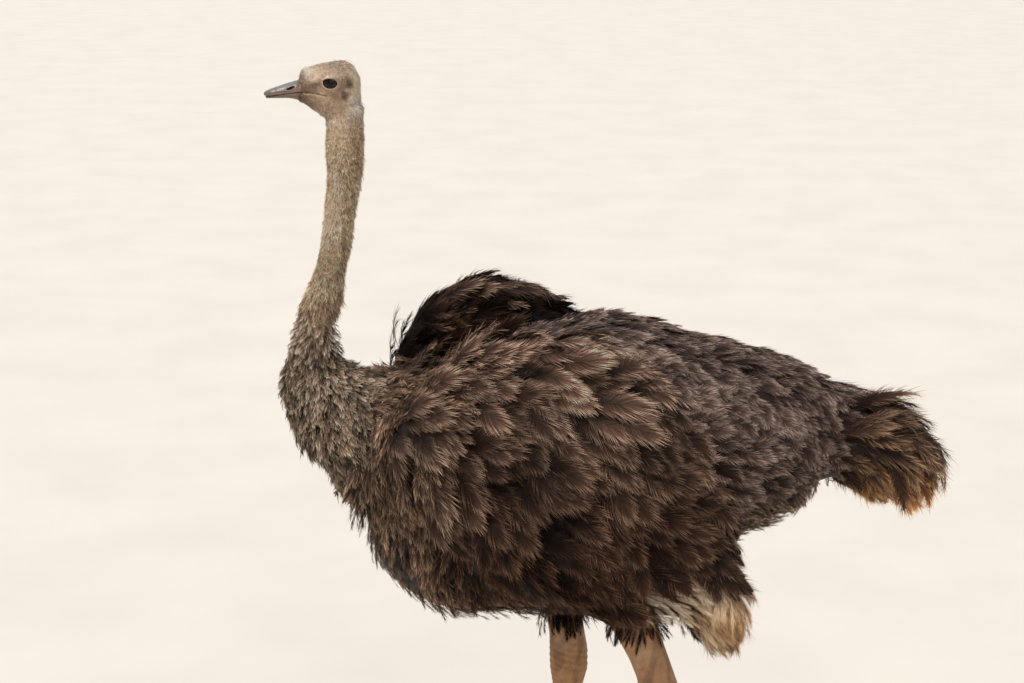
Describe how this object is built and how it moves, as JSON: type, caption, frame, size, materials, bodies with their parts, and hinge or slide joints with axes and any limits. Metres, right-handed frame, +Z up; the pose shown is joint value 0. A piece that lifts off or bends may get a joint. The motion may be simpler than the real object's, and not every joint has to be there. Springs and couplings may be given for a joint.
{
  "type": "ostrich figure",
  "caption": "Life-size standing hen ostrich with shaggy grey-brown plumage, a long downy neck, one lifted wing and bare legs, as a still museum model that stands on its own feet.",
  "frame": {"origin": "on the floor, under the middle of the whole bird's bounding box", "axes": "+Z up, -Y the way the bird faces, +X the bird's left side"},
  "size_m": [0.5952, 1.432, 1.829],
  "materials": {
    "plumage": "matt, loose feather vanes, grey-brown with paler tips",
    "pale_plume": "matt, soft off-white and tan plumes",
    "down": "matt, short hair-like down, beige-grey",
    "bare_skin": "satin, bare scaled skin, grey-beige",
    "bill_horn": "satin horn, grey with a pinkish-brown base",
    "claw_horn": "satin dark horn",
    "eye": "wet gloss, very dark brown"
  },
  "bodies": {
    "root": {"trunk": "plumage", "tail": "plumage", "head": "down", "bill_upper": "bill_horn", "bill_lower": "bill_horn", "eye_left": "eye", "eye_right": "eye", "neck_upper": "down", "neck_middle": "down", "neck_base": "down", "wing_left": "plumage", "plumes_left": "pale_plume", "thigh_left": "plumage", "shank_left": "bare_skin", "ankle_left": "bare_skin", "tarsus_left": "bare_skin", "toe_main_left": "bare_skin", "claw_left": "claw_horn", "toe_outer_left": "bare_skin", "wing_right": "plumage", "plumes_right": "pale_plume", "thigh_right": "plumage", "shank_right": "bare_skin", "ankle_right": "bare_skin", "tarsus_right": "bare_skin", "toe_main_right": "bare_skin", "claw_right": "claw_horn", "toe_outer_right": "bare_skin"}
  },
  "joints": []
}
